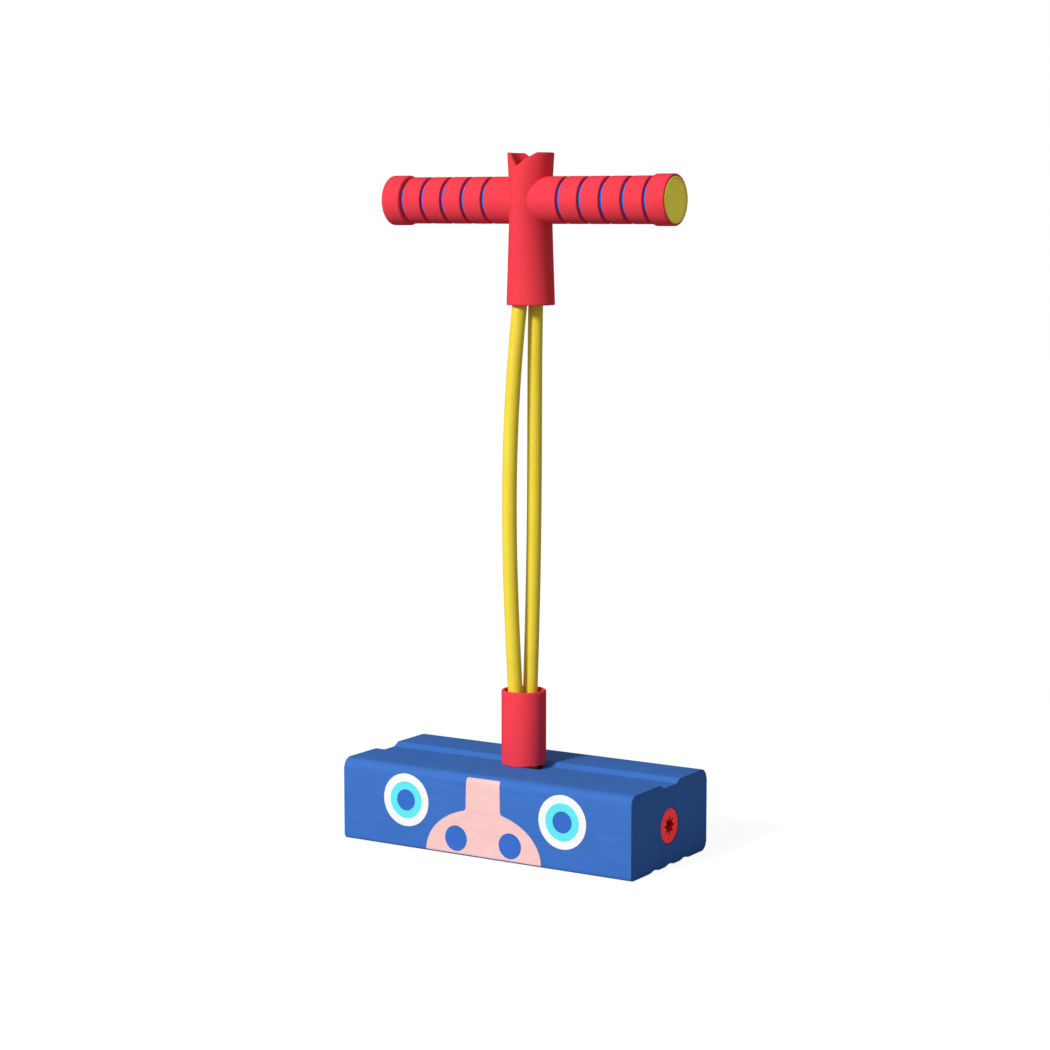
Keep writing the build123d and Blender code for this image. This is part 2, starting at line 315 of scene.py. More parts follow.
def cut(obj, *cutters):
    """Take the cutters out of obj for good."""
    for cutter in cutters:
        modifier = obj.modifiers.new("cut", "BOOLEAN")
        modifier.operation = "DIFFERENCE"
        modifier.solver = "EXACT"
        modifier.object = cutter
        bpy.context.view_layer.update()
        graph = bpy.context.evaluated_depsgraph_get()
        mesh = bpy.data.meshes.new_from_object(obj.evaluated_get(graph))
        obj.modifiers.clear()
        obj.data = mesh
        bpy.data.objects.remove(cutter)


def rod(name, radius, start, end, centre, axis, turns=96):
    """A plain rod, used as a cutter."""
    bm = bmesh.new()
    rings = []
    for station in (start, end):
        points = [centre + around(axis, radius, angle, station) for angle in full_turn(turns)]
        rings.append([bm.verts.new(point) for point in points])
    cap_rings(bm, rings)
    return new_object(name, bm)


def slab(name, low, high):
    """A plain box, used as a cutter."""
    bm = bmesh.new()
    bmesh.ops.create_cube(bm, size=1.0)
    for vert in bm.verts:
        for i in range(3):
            vert.co[i] = low[i] if vert.co[i] < 0 else high[i]
    return new_object(name, bm)


# ---- materials --------------------------------------------------------------------------------

# Noise sizes, in features per metre along X, Y and Z.
CUT_ALONG_X = (50, 640, 640)
CUT_ROUND_BAR = (1300, 160, 160)
CUT_UP_Z = (170, 170, 900)
FOAM_BLOTCHES = (38, 38, 38)
CORD_CLOUDS = (60, 60, 22)
CORD_LINES = (900, 900, 14)
PLASTIC_FLOW = (55, 55, 55)
PLASTIC_SKIN = (2600, 2600, 2600)
COARSE_PORES = 1700.0
FINE_PORES = 2100.0

# Where a noise or a mask starts and ends to count.
PATCH_RANGE = (0.35, 0.65)
CUT_RANGE = (0.42, 0.70)
PORE_RANGE = (0.45, 0.95)
LINE_RANGE = (0.45, 0.75)
# Pointiness over which outer edges take a painted highlight.
PAINTED_HIGHLIGHT_RANGE = (0.515, 0.60)
# Facing over which end faces take a painted glow.
END_FACE_RANGE = (0.8, 1.0)


def srgb(red, green, blue):
    """A colour given on the 0 to 255 scale, as linear light."""
    linear = []
    for value in (red, green, blue):
        share = value / 255
        linear.append(share / 12.92 if share <= 0.04045 else ((share + 0.055) / 1.055) ** 2.4)
    return (*linear, 1.0)


def scaled(colour, factor):
    """A colour made darker or brighter."""
    return (*[min(1.0, c * factor) for c in colour[:3]], 1.0)


class Shader:
    """A material's node tree, with short calls for the nodes used here."""

    def __init__(self, name):
        self.material = bpy.data.materials.new(name)
        self.material.use_nodes = True
        self.tree = self.material.node_tree
        self.surface = self.tree.nodes["Principled BSDF"]
        self.coordinates = self.tree.nodes.new("ShaderNodeTexCoord").outputs["Object"]

    def link(self, source, target):
        """Join one node's output to another one's input."""
        self.tree.links.new(source, target)

    def noise(self, stretch, detail=3.0, roughness=0.55, distortion=0.0):
        """Noise with a size for each axis, in features per metre."""
        mapping = self.tree.nodes.new("ShaderNodeMapping")
        mapping.inputs["Scale"].default_value = stretch
        self.link(self.coordinates, mapping.inputs["Vector"])
        node = self.tree.nodes.new("ShaderNodeTexNoise")
        node.inputs["Scale"].default_value = 1.0
        node.inputs["Detail"].default_value = detail
        node.inputs["Roughness"].default_value = roughness
        node.inputs["Distortion"].default_value = distortion
        self.link(mapping.outputs["Vector"], node.inputs["Vector"])
        return node.outputs["Fac"]

    def cells(self, scale):
        """Distance to the nearest foam cell's centre."""
        node = self.tree.nodes.new("ShaderNodeTexVoronoi")
        node.inputs["Scale"].default_value = scale
        self.link(self.coordinates, node.inputs["Vector"])
        return node.outputs["Distance"]

    def spread(self, value, low=0.0, high=1.0, to_low=0.0, to_high=1.0):
        """Stretch the range low to high over to_low to to_high."""
        node = self.tree.nodes.new("ShaderNodeMapRange")
        node.inputs["From Min"].default_value = low
        node.inputs["From Max"].default_value = high
        node.inputs["To Min"].default_value = to_low
        node.inputs["To Max"].default_value = to_high
        self.link(value, node.inputs["Value"])
        return node.outputs["Result"]

    def mix(self, factor, first, second):
        """Blend two colours; each is a colour value or another node's output."""
        node = self.tree.nodes.new("ShaderNodeMix")
        node.data_type = "RGBA"
        self.link(factor, node.inputs["Factor"])
        for source, name in ((first, "A"), (second, "B")):
            colour_input = next(i for i in node.inputs if i.type == "RGBA" and i.name == name)
            if isinstance(source, tuple):
                colour_input.default_value = source
            else:
                self.link(source, colour_input)
        return next(o for o in node.outputs if o.type == "RGBA")

    def patches(self, stretch, detail=3.0, distortion=0.0):
        """Soft patches, from 0 to 1."""
        return self.spread(self.noise(stretch, detail, distortion=distortion), *PATCH_RANGE)

    def drift(self, patches, colour, darkest, palest):
        """A colour that drifts between a darker and a paler tone."""
        return self.mix(patches, scaled(colour, darkest), scaled(colour, palest))

    def lay(self, base, colour, mask, between=(0.0, 1.0), share=1.0):
        """Lay a colour over base where a mask rises between two levels, up to a share."""
        return self.mix(self.spread(mask, *between, to_high=share), base, colour)

    def edges(self):
        """1 on sharp outer edges, 0 elsewhere: the mask for a painted highlight along them."""
        node = self.tree.nodes.new("ShaderNodeNewGeometry")
        return self.spread(node.outputs["Pointiness"], *PAINTED_HIGHLIGHT_RANGE)

    def facing_x(self):
        """1 on faces that look along the X axis, either way."""
        normal = self.tree.nodes.new("ShaderNodeTexCoord").outputs["Normal"]
        parts = self.tree.nodes.new("ShaderNodeSeparateXYZ")
        size = self.tree.nodes.new("ShaderNodeMath")
        size.operation = "ABSOLUTE"
        self.link(normal, parts.inputs["Vector"])
        self.link(parts.outputs["X"], size.inputs[0])
        return size.outputs["Value"]

    def bump(self, height, distance, strength, below=None):
        """A normal from a height, on top of another normal if there is one."""
        node = self.tree.nodes.new("ShaderNodeBump")
        node.inputs["Strength"].default_value = strength
        node.inputs["Distance"].default_value = distance
        self.link(height, node.inputs["Height"])
        if below is not None:
            self.link(below, node.inputs["Normal"])
        return node.outputs["Normal"]

    def finish(self, colour, roughness, normal, **settings):
        """Link the surface's main inputs and set the others by name."""
        self.link(colour, self.surface.inputs["Base Color"])
        self.link(roughness, self.surface.inputs["Roughness"])
        self.link(normal, self.surface.inputs["Normal"])
        for name, value in settings.items():
            self.surface.inputs[name.replace("_", " ")].default_value = value
        return self.material


def foam(name, colour, cut_size, pores=COARSE_PORES, cut_strength=0.35, cut_shade=0.6):
    """Closed-cell foam: soft blotches, fine pores, cut marks along one axis and a painted highlight on
    outer edges.
    """
    s = Shader(name)
    blotches = s.patches(FOAM_BLOTCHES, detail=4.0)
    marks = s.noise(cut_size, detail=4.0, roughness=0.65)
    cells = s.cells(pores)
    base = s.drift(blotches, colour, darkest=0.94, palest=1.04)
    base = s.lay(base, scaled(colour, 0.82), marks, CUT_RANGE, share=cut_shade)
    base = s.lay(base, scaled(colour, 0.70), cells, PORE_RANGE, share=0.30)
    # Painted highlight: outer edges made paler, as where light catches a rounded edge.
    base = s.lay(base, scaled(colour, 1.25), s.edges(), share=0.35)
    rough = s.spread(blotches, to_low=0.72, to_high=0.86)
    normal = s.bump(cells, distance=0.10 * MM, strength=0.25)
    normal = s.bump(marks, distance=0.16 * MM, strength=cut_strength, below=normal)
    return s.finish(base, rough, normal, Specular_IOR_Level=0.12)


def elastic(name, colour):
    """Smooth stretchy cord with faint lengthwise draw lines."""
    s = Shader(name)
    clouds = s.patches(CORD_CLOUDS)
    lines = s.noise(CORD_LINES, detail=2.0)
    base = s.drift(clouds, colour, darkest=0.95, palest=1.03)
    base = s.lay(base, scaled(colour, 0.88), lines, LINE_RANGE, share=0.25)
    rough = s.spread(clouds, to_low=0.38, to_high=0.50)
    normal = s.bump(lines, distance=0.05 * MM, strength=0.25)
    return s.finish(
        base, rough, normal, Specular_IOR_Level=0.42, Coat_Weight=0.08, Coat_Roughness=0.3,
        Subsurface_Weight=0.30, Subsurface_Scale=4.0 * MM, Subsurface_Radius=(1.0, 0.9, 0.3),
    )


def plastic(name, colour, roughness, glow=0.0):
    """Moulded plastic or rubber; glow is painted light, an emission from the end faces that brightens
    them where they lie in shade.
    """
    s = Shader(name)
    flow = s.patches(PLASTIC_FLOW, distortion=0.8)
    skin = s.noise(PLASTIC_SKIN, detail=2.0)
    base = s.drift(flow, colour, darkest=0.93, palest=1.04)
    # Painted highlight: outer edges made paler, as where light catches a rounded rim.
    base = s.lay(base, scaled(colour, 1.2), s.edges(), share=0.3)
    rough = s.spread(flow, to_low=roughness, to_high=roughness + 0.12)
    normal = s.bump(skin, distance=0.05 * MM, strength=0.12)
    # Painted light: faces along X give off light in the material's own colour, up to glow.
    painted_glow = s.spread(s.facing_x(), *END_FACE_RANGE, to_high=glow)
    s.link(painted_glow, s.surface.inputs["Emission Strength"])
    return s.finish(base, rough, normal, Specular_IOR_Level=0.45, Emission_Color=colour)


BLUE_FOAM = foam("block_foam", srgb(64, 118, 202), CUT_ALONG_X, cut_strength=0.60)
RED_FOAM = foam(
    "red_foam_upright", srgb(254, 66, 80), CUT_UP_Z, FINE_PORES, cut_strength=0.14, cut_shade=0.18
)
RED_GRIP = foam(
    "red_foam_grip", srgb(254, 66, 82), CUT_ROUND_BAR, FINE_PORES, cut_strength=0.20, cut_shade=0.30
)
BRIGHT_BLUE = foam("blue_foam_core", srgb(0, 122, 255), CUT_ROUND_BAR, FINE_PORES)
PRINT_WHITE = foam("print_white", srgb(251, 253, 251), CUT_ALONG_X, cut_strength=0.28)
PRINT_CYAN = foam("print_cyan", srgb(100, 232, 246), CUT_ALONG_X, cut_strength=0.28)
PRINT_PINK = foam("print_pink", srgb(252, 198, 193), CUT_ALONG_X, cut_strength=0.45)
PRINT_BLUE = foam("print_blue", srgb(56, 108, 200), CUT_ALONG_X, cut_strength=0.28)
CORD_YELLOW = elastic("elastic_cord", srgb(255, 226, 62))
# The cap's and the plug's glow paints light onto their shaded end faces.
CAP_YELLOW = plastic("yellow_plastic", srgb(250, 232, 62), roughness=0.34, glow=0.12)
PLUG_RED = plastic("red_rubber", srgb(255, 44, 52), roughness=0.42, glow=0.30)
BULB_RUBBER = plastic("bulb_rubber", srgb(206, 196, 176), roughness=0.60)
REED_DARK = plastic("reed_plastic", srgb(70, 16, 24), roughness=0.50)
TUBE_WHITE = plastic("tube_plastic", srgb(226, 226, 220), roughness=0.38)
TIE_BAND = plastic("tie_band", srgb(150, 122, 30), roughness=0.55)


# ---- foam block -------------------------------------------------------------------------------


def block_outline():
    """End view of the block as (y, z): up the back, over the deck, down the front, along the sole."""
    front, back, top = BLOCK_LOW.y, BLOCK_HIGH.y, BLOCK_HIGH.z
    floor = top - CHANNEL_DEPTH
    outline = round_corners(
        [
            (back, 0.0), (back, top), (CHANNEL_HALF_TOP, top), (CHANNEL_HALF_FLOOR, floor),
            (-CHANNEL_HALF_FLOOR, floor), (-CHANNEL_HALF_TOP, top), (front, top), (front, 0.0),
        ],
        (
            EDGE_BACK_BOTTOM, EDGE_BACK_TOP, CHANNEL_EDGE, CHANNEL_EDGE,
            CHANNEL_EDGE, CHANNEL_EDGE, EDGE_FRONT_TOP, EDGE_FRONT_BOTTOM,
        ),
        steps=8,
    )
    for centre in (-SOLE_GROOVE_PITCH, 0.0, SOLE_GROOVE_PITCH):
        outline += sole_groove(centre)
    return outline


def sole_groove(centre, steps=10):
    """One shallow round-bottomed groove in the sole, softened where it meets the flat."""
    points = []
    for k in range(steps + 1):
        t = 2 * k / steps - 1
        rise = SOLE_GROOVE_DEPTH * (math.cos(t * math.pi) + 1) / 2
        points.append(Vector((centre + t * SOLE_GROOVE_W / 2, rise)))
    return points


def foam_block():
    """The block, its end edges softened, with the squeaker pockets and the cord chamber cut."""
    outline = block_outline()
    bm = bmesh.new()
    ends = []
    for x in (BLOCK_LOW.x, BLOCK_HIGH.x):
        ends.append([bm.verts.new((x, y, z)) for y, z in outline])
    cap_rings(bm, ends)
    rims = [e for e in bm.edges if abs(e.verts[0].co.x - e.verts[1].co.x) < END_EDGE]
    bmesh.ops.bevel(bm, geom=rims, offset=END_EDGE, segments=3, affect="EDGES", profile=0.5)
    block = new_object("foam_block", bm, BLOCK_CRISP_ANGLE)

    pocket_r = (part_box("right_squeaker_plug")[1].z - SQUEAKER.z) + POCKET_GAP
    pocket_at = Vector((0, SQUEAKER.y, SQUEAKER.z))
    pocket_end = BLOCK_HIGH.x - POCKET_DEPTH
    pockets = [
        rod("pocket", pocket_r, side * pocket_end, side * (BLOCK_HIGH.x + CUT_PAST), pocket_at, "X")
        for _, side in SIDES
    ]
    origin = Vector((0, 0, 0))
    chamber = rod("chamber", CHAMBER_R, -CUT_PAST, CHAMBER_TOP, origin, "Z")
    bore_ends = (CHAMBER_TOP - CUT_PAST, BLOCK_HIGH.z + CUT_PAST)
    bore = rod("bore", CORD_BORE_R, *bore_ends, origin, "Z")
    anchor_low, anchor_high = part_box("anchor_tube")
    gap = Vector((SLOT_GAP, SLOT_GAP, SLOT_GAP))
    slot = slab("slot", Vector((*(anchor_low - gap).xy, -CUT_PAST)), anchor_high + gap)
    cut(block, *pockets, chamber, bore, slot)
    shade(block.data, BLOCK_CRISP_ANGLE)
    return place(block, "block", BLUE_FOAM, "block_foam", "base_block")


def cord_collar():
    """Foam tube on the deck, with a soft rolled lip."""
    outer = (COLLAR_HIGH.x - COLLAR_LOW.x) / 2
    inner = outer - COLLAR_WALL
    corners = [
        (inner, COLLAR_LOW.z), (outer, COLLAR_LOW.z), (outer, COLLAR_HIGH.z), (inner, COLLAR_HIGH.z)
    ]
    outline = round_corners(corners, (COLLAR_FOOT_INNER, COLLAR_FOOT_OUTER, COLLAR_LIP, COLLAR_LIP))
    bm = bmesh.new()
    lathe(bm, outline, Vector((0, 0, 0)), "Z", turns=120)
    return place(new_object("collar_foam", bm), "block", RED_FOAM, "red_foam", "cord_collar")


# ---- printed face -----------------------------------------------------------------------------


def front_y(z):
    """The block's front surface at a height, over its rounded long edges."""
    top_start = BLOCK_HIGH.z - EDGE_FRONT_TOP
    if z > top_start:
        rise = min(z - top_start, EDGE_FRONT_TOP)
        inset = EDGE_FRONT_TOP - math.sqrt(EDGE_FRONT_TOP**2 - rise**2)
        return BLOCK_LOW.y + inset
    if z < EDGE_FRONT_BOTTOM:
        drop = min(EDGE_FRONT_BOTTOM - z, EDGE_FRONT_BOTTOM)
        return BLOCK_LOW.y + EDGE_FRONT_BOTTOM - math.sqrt(EDGE_FRONT_BOTTOM**2 - drop**2)
    return BLOCK_LOW.y


def printed(name, outline, layer, material):
    """A thin printed patch that follows the block's front: outline is (x, z) points."""
    bm = bmesh.new()
    bm.faces.new([bm.verts.new((x, 0, z)) for x, z in outline])
    low = min(z for _, z in outline)
    high = max(z for _, z in outline)
    curve_low = EDGE_FRONT_BOTTOM + PRINT_ROW
    curve_high = BLOCK_HIGH.z - EDGE_FRONT_TOP - PRINT_ROW
    for i in range(1, int((high - low) / PRINT_ROW)):
        z = low + i * PRINT_ROW
        if z < curve_low or z > curve_high:
            bmesh.ops.bisect_plane(
                bm, geom=bm.verts[:] + bm.edges[:] + bm.faces[:],
                plane_co=(0, 0, z), plane_no=(0, 0, 1),
            )
    proud = PRINT_PROUD * layer
    for vert in bm.verts:
        vert.co.y = front_y(vert.co.z) - proud
    patch = bmesh.ops.extrude_face_region(bm, geom=bm.faces[:])
    back = [v for v in patch["geom"] if isinstance(v, bmesh.types.BMVert)]
    bmesh.ops.translate(bm, vec=(0, proud + PRINT_DEPTH, 0), verts=back)
    return place(new_object(name, bm, BLOCK_CRISP_ANGLE), "block", material, "block_foam")


def disc_outline(x, z, radius, steps=72):
    """A circle as (x, z) points."""
    return [(x + radius * math.cos(a), z + radius * math.sin(a)) for a in full_turn(steps)]


def muzzle_outline(steps=14):
    """A plain rounded muzzle, with a blaze that runs up to the deck's edge on soft corners."""
    join = math.acos(BLAZE_HALF_W / MUZZLE_HALF_W)
    right = []
    for k in range(steps + 1):
        angle = join * k / steps
        x = MUZZLE_HALF_W * math.cos(angle)
        right.append((x, MUZZLE_BASE_Z + MUZZLE_RISE * math.sin(angle)))
    right.append((BLAZE_HALF_W * BLAZE_TOP_SHARE, BLOCK_HIGH.z - BLAZE_MARGIN))
    radii = [0.0] * steps + [MUZZLE_CORNER, BLAZE_CORNER]
    left = [(-x, z) for x, z in reversed(right)]
    outline = round_corners(right + left, radii + radii[::-1], steps=8)
    return [tuple(point) for point in outline]


def printed_face():
    """Plain round eyes and a muzzle with two nostrils, in the toy's own colours."""
    rings = (
        ("white", EYE_WHITE_R, PRINT_WHITE),
        ("ring", EYE_RING_R, PRINT_CYAN),
        ("pupil", EYE_PUPIL_R, PRINT_BLUE),
    )
    for side_name, side in SIDES:
        for layer, (part, radius, material) in enumerate(rings, start=1):
            outline = disc_outline(side * EYE_X, EYE_Z, radius)
            printed(f"{side_name}_eye_{part}", outline, layer, material)
    printed("muzzle", muzzle_outline(), 1, PRINT_PINK)
    for side_name, side in SIDES:
        outline = disc_outline(side * NOSTRIL_X, NOSTRIL_Z, NOSTRIL_R)
        printed(f"{side_name}_nostril", outline, 2, PRINT_BLUE)


# ---- cord -------------------------------------------------------------------------------------


def smooth_path(points, steps=14):
    """Catmull-Rom curve through the points."""
    ends = [points[0] * 2 - points[1], *points, points[-1] * 2 - points[-2]]
    path = []
    for p0, p1, p2, p3 in zip(ends, ends[1:], ends[2:], ends[3:]):
        for k in range(steps):
            t = k / steps
            a = (p1 * 2) + (p2 - p0) * t
            b = (p0 * 2 - p1 * 5 + p2 * 4 - p3) * t**2
            c = (p1 * 3 - p0 - p2 * 3 + p3) * t**3
            path.append((a + b + c) / 2)
    path.append(points[-1])
    return path


def strand_point(centre, half_gap, angle, z, strand):
    """Centre of one strand at a height: strand is 1 for the rear one and -1 for the front one."""
    turn = math.radians(angle)
    x = centre.x + strand * half_gap * math.cos(turn)
    y = centre.y + strand * half_gap * math.sin(turn)
    return Vector((x, y, z))


def free_strand(strand, low, high):
    """One strand between two heights: the pair bows apart and leans towards the handle."""
    steps = round((high - low) / STRAND_STEP)
    points = []
    for i in range(steps + 1):
        z = low + (high - low) * i / steps
        t = min(1.0, max(0.0, (z - FOOT_TIE.z) / (HEAD_TIE.z - FOOT_TIE.z)))
        bow = math.sin(math.pi * t)
        centre = FOOT_TIE.lerp(HEAD_TIE, t**LEAN_POWER) + Vector((CORD_DRIFT_X * bow, 0, 0))
        half_gap = FOOT_HALF_GAP + (HEAD_HALF_GAP - FOOT_HALF_GAP) * t + CORD_BOW * bow
        points.append(strand_point(centre, half_gap, MOUTH_ANGLE, z, strand))
    return points


def half_turn(centre, gap, rise, steps=24):
    """Half turn over a tube (rise 1) or under it (rise -1), from the front strand to the rear one."""
    points = []
    for i in range(steps + 1):
        angle = math.pi * i / steps
        offset = Vector((0, -gap * math.cos(angle), rise * gap * math.sin(angle)))
        points.append(centre + offset)
    return points


def cord_end(name, body, stations, turn):
    """One end of the loop: both legs and the half turn that joins them at the last station."""
    front, rear = [
        smooth_path([strand_point(*station, strand) for station in stations]) for strand in (-1, 1)
    ]
    bm = bmesh.new()
    sweep_tube(bm, front + turn[1:-1] + rear[::-1], CORD_R)
    return place(new_object(name, bm), body, CORD_YELLOW, "elastic_cord")


def cord_span(name, low, high):
    """Both strands between two heights, baked in place with the cord material."""
    bm = bmesh.new()
    for strand in (-1, 1):
        sweep_tube(bm, free_strand(strand, low, high), CORD_R, turns=36)
    strands = new_object(name, bm)
    strands.data.materials.append(CORD_YELLOW)
    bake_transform(strands)
    return strands


def cord():
    """Four lengths of one loop: the foot, the root in the collar, the free strands and the head."""
    wrap_gap = CORD_TOP - BAR.z - CORD_R
    anchor = Vector((0, 0, ANCHOR.z))
    bar = Vector((middle("handle_sleeve").x, BAR.y, BAR.z))
    shoulder = HEAD_TIE.lerp(bar, SHOULDER_SHARE)
    tie_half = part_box("lower_cord_tie")[1].z - FOOT_TIE.z
    foot_top = FOOT_TIE.z - tie_half - UNDER_TIE
    head_bottom = HEAD_TIE.z + tie_half + OVER_TIE
    root_top = COLLAR_HIGH.z + ROOT_BEND

    foot_stations = (
        (FOOT_TIE, FOOT_HALF_GAP, MOUTH_ANGLE, foot_top),
        (anchor, COLLAR_HALF_GAP, COLLAR_ANGLE, COLLAR_STATION_Z),
        (anchor, THROAT_HALF_GAP, THROAT_ANGLE, CHAMBER_TOP),
        (anchor, wrap_gap, WRAP_ANGLE, anchor.z),
    )
    head_stations = (
        (HEAD_TIE, HEAD_HALF_GAP, MOUTH_ANGLE, head_bottom),
        (shoulder, SHOULDER_HALF_GAP, SHOULDER_ANGLE, SHOULDER_Z),
        (bar, wrap_gap, WRAP_ANGLE, bar.z),
    )
    cord_end("cord_foot_turn", "block", foot_stations, half_turn(anchor, wrap_gap, -1))
    cord_end("cord_head_turn", "sleeve", head_stations, half_turn(bar, wrap_gap, 1))
    cord_span(
        "cord_root", foot_top - SPLICE, root_top,
    )
    strands = cord_span(
        "cord_strands", root_top, head_bottom + SPLICE
    )
    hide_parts("cord_loop")


# ---- handle -----------------------------------------------------------------------------------


def sleeve_radii(z):
    """Outer half widths of the sleeve: round ends with straight tapers to an oval at the bar."""
    end_r, end_z = (SLEEVE_BOTTOM_R, SLEEVE_LOW.z) if z < BAR.z else (SLEEVE_TOP_R, SLEEVE_HIGH.z)
    reach = abs(end_z - BAR.z)
    off = abs(z - BAR.z)
    if off < SLEEVE_BEND:
        off = (off**2 / SLEEVE_BEND + SLEEVE_BEND) / 2
    t = off / reach
    return SLEEVE_WAIST_X + (end_r - SLEEVE_WAIST_X) * t, SLEEVE_WAIST_Y + (end_r - SLEEVE_WAIST_Y) * t


def notch_depth(x):
    """Depth of the front and rear notches at a distance across the sleeve."""
    edge = NOTCH_HALF if x > NOTCH_TIP_X else -NOTCH_HALF
    return NOTCH_DEPTH * max(0.0, (edge - x) / (edge - NOTCH_TIP_X))


def handle_sleeve(columns=160, rows=48):
    """Foam tube with a notched top, opened where the grips run into it."""
    centre = middle("handle_sleeve")
    bm = bmesh.new()
    rings = []
    for angle in full_turn(columns):
        top = SLEEVE_HIGH.z - notch_depth(SLEEVE_TOP_R * math.cos(angle))
        bottom = SLEEVE_LOW.z
        wall = round_corners(
            [(0.0, bottom), (0.0, top), (-SLEEVE_WALL, top), (-SLEEVE_WALL, bottom)],
            (SLEEVE_LIP,) * 4, steps=3,
        )
        ring = []
        for inset, z in fill_rows(wall, rows, top - bottom):
            x_half, y_half = sleeve_radii(z)
            x = centre.x + (x_half + inset) * math.cos(angle)
            y = centre.y + (y_half + inset) * math.sin(angle)
            ring.append(bm.verts.new((x, y, z)))
        rings.append(ring)
    close_rings(bm, rings)
    sleeve = new_object("sleeve_foam", bm, SLEEVE_CRISP_ANGLE)
    grip_low, grip_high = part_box("left_grip_inner")
    hole_r = (grip_high.z - grip_low.z) / 2 + POCKET_GAP
    reach = 2 * SLEEVE_WAIST_X
    bar = Vector((centre.x, BAR.y, BAR.z))
    cut(sleeve, rod("crossing", hole_r, -reach, reach, bar, "X", turns=128))
    shade(sleeve.data, SLEEVE_CRISP_ANGLE)
    return place(sleeve, "sleeve", RED_FOAM, "red_foam", "handle_sleeve")


def fill_rows(outline, rows, height):
    """Add evenly spaced points to an outline's long upright sides."""
    filled = []
    for i, point in enumerate(outline):
        following = outline[(i + 1) % len(outline)]
        filled.append(point)
        if (following - point).length > height / 2:
            filled += [point.lerp(following, k / rows) for k in range(1, rows)]
    return filled


def bar_foam(name, node, spans, material, slot, edges, inner_r):
    """Foam tubes along the bar: spans are their stations, edges their near and far rounding."""
    low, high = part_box(node)
    outer = (high.z - low.z) / 2
    bm = bmesh.new()
    for start, end in spans:
        outline = tube_outline(inner_r, outer, start, end, *edges)
        lathe(bm, outline, BAR_AXIS, "X")
    return place(new_object(name, bm), "handlebar", material, slot, node)


def end_cap(side_name, side):
    """Plastic cap with a rounded raised rim, a shallow dished face and a spigot."""
    node = f"{side_name}_end_cap"
    low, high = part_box(node)
    outer = (high.z - low.z) / 2
    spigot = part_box("core_tube")[1].z - BAR.z - SPIGOT_INSET
    tip, face = (low.x, high.x) if side > 0 else (high.x, low.x)
    back = face - side * CAP_THICK
    dish = face - side * CAP_DISH
    rim = outer - CAP_RIM
    corners = [
        (AXIS_R, tip), (spigot, tip), (spigot, back), (outer, back),
        (outer, face), (rim, face), (rim - CAP_DISH_SLOPE, dish), (AXIS_R, dish),
    ]
    radii = (
        0, SPIGOT_ROUND, 0, CAP_BACK_ROUND, CAP_RIM_ROUND, CAP_DISH_ROUND, CAP_DISH_ROUND, 0
    )
    outline = round_corners(corners, radii)
    bm = bmesh.new()
    lathe(bm, outline, BAR_AXIS, "X")
    cap = new_object(f"{side_name}_cap", bm)
    return place(cap, "handlebar", CAP_YELLOW, "yellow_plastic", node)


def end_flange(side_name, side, inner_r):
    """Wider foam ring at the bar's end, with a rounded lip that stands round the cap."""
    node = f"{side_name}_end_flange"
    low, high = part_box(node)
    cap_low, cap_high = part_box(f"{side_name}_end_cap")
    cap_r = (cap_high.z - cap_low.z) / 2 + FIT_GAP
    outer = (high.z - low.z) / 2
    near, far = (low.x, high.x) if side > 0 else (high.x, low.x)
    seat = far - side * CAP_SEAT
    lip = far + side * FLANGE_LIP
    corners = [
        (inner_r, near), (outer, near), (outer, lip), (cap_r, lip), (cap_r, seat), (inner_r, seat)
    ]
    outline = round_corners(corners, (0, FLANGE_ROUND, FLANGE_LIP_ROUND, FLANGE_MOUTH_ROUND, 0, 0))
    bm = bmesh.new()
    lathe(bm, outline, BAR_AXIS, "X")
    flange = new_object(f"{side_name}_flange", bm)
    return place(flange, "handlebar", RED_GRIP, "red_foam", node)


def grip_side(side_name, side):
    """Everything on one half of the bar."""
    core_low, core_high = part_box(f"{side_name}_grip_core")
    red_inner = (core_high.z - core_low.z) / 2 + FIT_GAP
    soft = (FOAM_EDGE, FOAM_EDGE)

    node = f"{side_name}_grip_inner"
    low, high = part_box(node)
    near, far = (low.x, high.x) if side > 0 else (high.x, low.x)
    span = sorted((near - side * GRIP_TUCK, far))
    bar_foam(f"{side_name}_grip_root", node, [span], RED_GRIP, "red_foam", soft, red_inner)

    node = f"{side_name}_grip_rings"
    low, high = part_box(node)
    width = (high.x - low.x - GROOVE_W * (RINGS - 1)) / RINGS
    starts = [low.x + i * (width + GROOVE_W) for i in range(RINGS)]
    spans = [(start, start + width) for start in starts]
    bar_foam(f"{side_name}_grip_foam", node, spans, RED_GRIP, "red_foam", soft, red_inner)

    end_flange(side_name, side, red_inner)

    node = f"{side_name}_grip_core"
    tube_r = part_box("core_tube")[1].z - BAR.z + FIT_GAP
    span = [(core_low.x, core_high.x)]
    bar_foam(f"{side_name}_core_foam", node, span, BRIGHT_BLUE, "blue_foam", soft, tube_r)
    end_cap(side_name, side)


# ---- CAD pieces that keep their shape -----------------------------------------------------------


